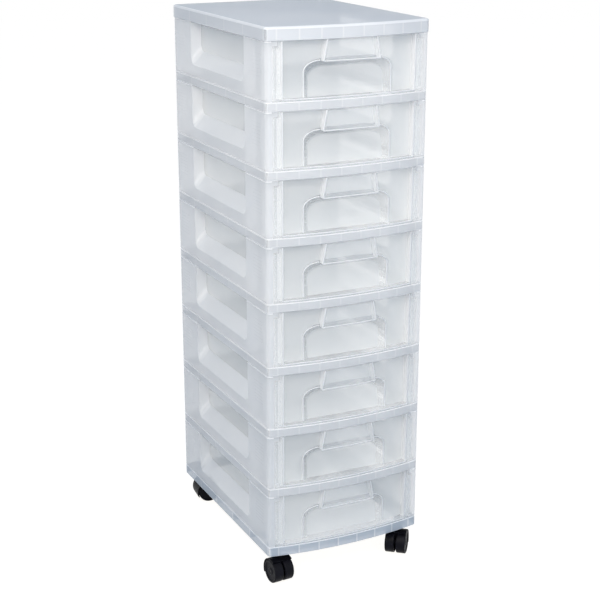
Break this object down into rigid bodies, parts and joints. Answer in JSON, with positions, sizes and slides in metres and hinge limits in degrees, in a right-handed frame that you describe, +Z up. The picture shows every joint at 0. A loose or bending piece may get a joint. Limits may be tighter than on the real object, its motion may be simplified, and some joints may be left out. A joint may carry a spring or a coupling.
{
  "type": "plastic drawer tower",
  "caption": "Tall narrow tower of clear plastic drawers in stacked see-through frames, with bowed fronts, hooded handles and finger scoops, on swivelling twin-wheel castors.",
  "frame": {"origin": "on the floor under the middle of the tower's plan", "axes": "+Z up, +X to the right of someone facing the drawers, -Y towards that person: the drawers open along -Y"},
  "size_m": [0.3, 0.42, 0.975],
  "materials": {
    "clear_housing": "clear polypropylene with a faint milky haze",
    "clear_cover": "fine-grained clear polypropylene, frosted by its moulded texture",
    "clear_drawer": "clear polypropylene, glossy, with whiter moulded edges",
    "black_housing": "satin black nylon",
    "black_wheel": "smooth black nylon tread with a soft sheen",
    "steel": "zinc-plated steel pin"
  },
  "bodies": {
    "tower": {"top_cover": "clear_cover", "base_tray": "clear_housing", "frame_1": "clear_housing", "frame_2": "clear_housing", "frame_3": "clear_housing", "frame_4": "clear_housing", "frame_5": "clear_housing", "frame_6": "clear_housing", "frame_7": "clear_housing", "frame_8": "clear_housing", "shelf_1": "clear_housing", "shelf_2": "clear_housing", "shelf_3": "clear_housing", "shelf_4": "clear_housing", "shelf_5": "clear_housing", "shelf_6": "clear_housing", "shelf_7": "clear_housing", "stem_front_left": "steel", "stem_front_right": "steel", "stem_back_left": "steel", "stem_back_right": "steel"},
    "drawer_1": {"drawer_1": "clear_drawer"},
    "drawer_2": {"drawer_2": "clear_drawer"},
    "drawer_3": {"drawer_3": "clear_drawer"},
    "drawer_4": {"drawer_4": "clear_drawer"},
    "drawer_5": {"drawer_5": "clear_drawer"},
    "drawer_6": {"drawer_6": "clear_drawer"},
    "drawer_7": {"drawer_7": "clear_drawer"},
    "drawer_8": {"drawer_8": "clear_drawer"},
    "castor_front_left": {"housing_front_left": "black_housing", "axle_front_left": "steel"},
    "roller_a_front_left": {"wheel_a_front_left": "black_wheel"},
    "roller_b_front_left": {"wheel_b_front_left": "black_wheel"},
    "castor_front_right": {"housing_front_right": "black_housing", "axle_front_right": "steel"},
    "roller_a_front_right": {"wheel_a_front_right": "black_wheel"},
    "roller_b_front_right": {"wheel_b_front_right": "black_wheel"},
    "castor_back_left": {"housing_back_left": "black_housing", "axle_back_left": "steel"},
    "roller_a_back_left": {"wheel_a_back_left": "black_wheel"},
    "roller_b_back_left": {"wheel_b_back_left": "black_wheel"},
    "castor_back_right": {"housing_back_right": "black_housing", "axle_back_right": "steel"},
    "roller_a_back_right": {"wheel_a_back_right": "black_wheel"},
    "roller_b_back_right": {"wheel_b_back_right": "black_wheel"}
  },
  "joints": [
    {"name": "drawer_slide_1", "type": "slide", "parent": "tower", "child": "drawer_1", "axis": [0, -1, 0], "range_m": [0, 0.28]},
    {"name": "drawer_slide_2", "type": "slide", "parent": "tower", "child": "drawer_2", "axis": [0, -1, 0], "range_m": [0, 0.28]},
    {"name": "drawer_slide_3", "type": "slide", "parent": "tower", "child": "drawer_3", "axis": [0, -1, 0], "range_m": [0, 0.28]},
    {"name": "drawer_slide_4", "type": "slide", "parent": "tower", "child": "drawer_4", "axis": [0, -1, 0], "range_m": [0, 0.28]},
    {"name": "drawer_slide_5", "type": "slide", "parent": "tower", "child": "drawer_5", "axis": [0, -1, 0], "range_m": [0, 0.28]},
    {"name": "drawer_slide_6", "type": "slide", "parent": "tower", "child": "drawer_6", "axis": [0, -1, 0], "range_m": [0, 0.28]},
    {"name": "drawer_slide_7", "type": "slide", "parent": "tower", "child": "drawer_7", "axis": [0, -1, 0], "range_m": [0, 0.28]},
    {"name": "drawer_slide_8", "type": "slide", "parent": "tower", "child": "drawer_8", "axis": [0, -1, 0], "range_m": [0, 0.28]},
    {"name": "swivel_front_left", "type": "hinge", "parent": "tower", "child": "castor_front_left", "pos_m": [-0.1245, -0.1715, 0.05], "axis": [0, 0, 1], "continuous": true},
    {"name": "roll_a_front_left", "type": "hinge", "parent": "castor_front_left", "child": "roller_a_front_left", "pos_m": [-0.12366, -0.18347, 0.021], "axis": [0.9976, 0.0698, 0], "continuous": true},
    {"name": "roll_b_front_left", "type": "hinge", "parent": "castor_front_left", "child": "roller_b_front_left", "pos_m": [-0.12366, -0.18347, 0.021], "axis": [0.9976, 0.0698, 0], "continuous": true},
    {"name": "swivel_front_right", "type": "hinge", "parent": "tower", "child": "castor_front_right", "pos_m": [0.1245, -0.1715, 0.05], "axis": [0, 0, 1], "continuous": true},
    {"name": "roll_a_front_right", "type": "hinge", "parent": "castor_front_right", "child": "roller_a_front_right", "pos_m": [0.11679, -0.18069, 0.021], "axis": [0.766, -0.6428, 0], "continuous": true},
    {"name": "roll_b_front_right", "type": "hinge", "parent": "castor_front_right", "child": "roller_b_front_right", "pos_m": [0.11679, -0.18069, 0.021], "axis": [0.766, -0.6428, 0], "continuous": true},
    {"name": "swivel_back_left", "type": "hinge", "parent": "tower", "child": "castor_back_left", "pos_m": [-0.1245, 0.1865, 0.05], "axis": [0, 0, 1], "continuous": true},
    {"name": "roll_a_back_left", "type": "hinge", "parent": "castor_back_left", "child": "roller_a_back_left", "pos_m": [-0.11257, 0.18525, 0.021], "axis": [0.1045, 0.9945, 0], "continuous": true},
    {"name": "roll_b_back_left", "type": "hinge", "parent": "castor_back_left", "child": "roller_b_back_left", "pos_m": [-0.11257, 0.18525, 0.021], "axis": [0.1045, 0.9945, 0], "continuous": true},
    {"name": "swivel_back_right", "type": "hinge", "parent": "tower", "child": "castor_back_right", "pos_m": [0.1245, 0.1865, 0.05], "axis": [0, 0, 1], "continuous": true},
    {"name": "roll_a_back_right", "type": "hinge", "parent": "castor_back_right", "child": "roller_a_back_right", "pos_m": [0.11411, 0.1805, 0.021], "axis": [0.5, -0.866, 0], "continuous": true},
    {"name": "roll_b_back_right", "type": "hinge", "parent": "castor_back_right", "child": "roller_b_back_right", "pos_m": [0.11411, 0.1805, 0.021], "axis": [0.5, -0.866, 0], "continuous": true}
  ]
}
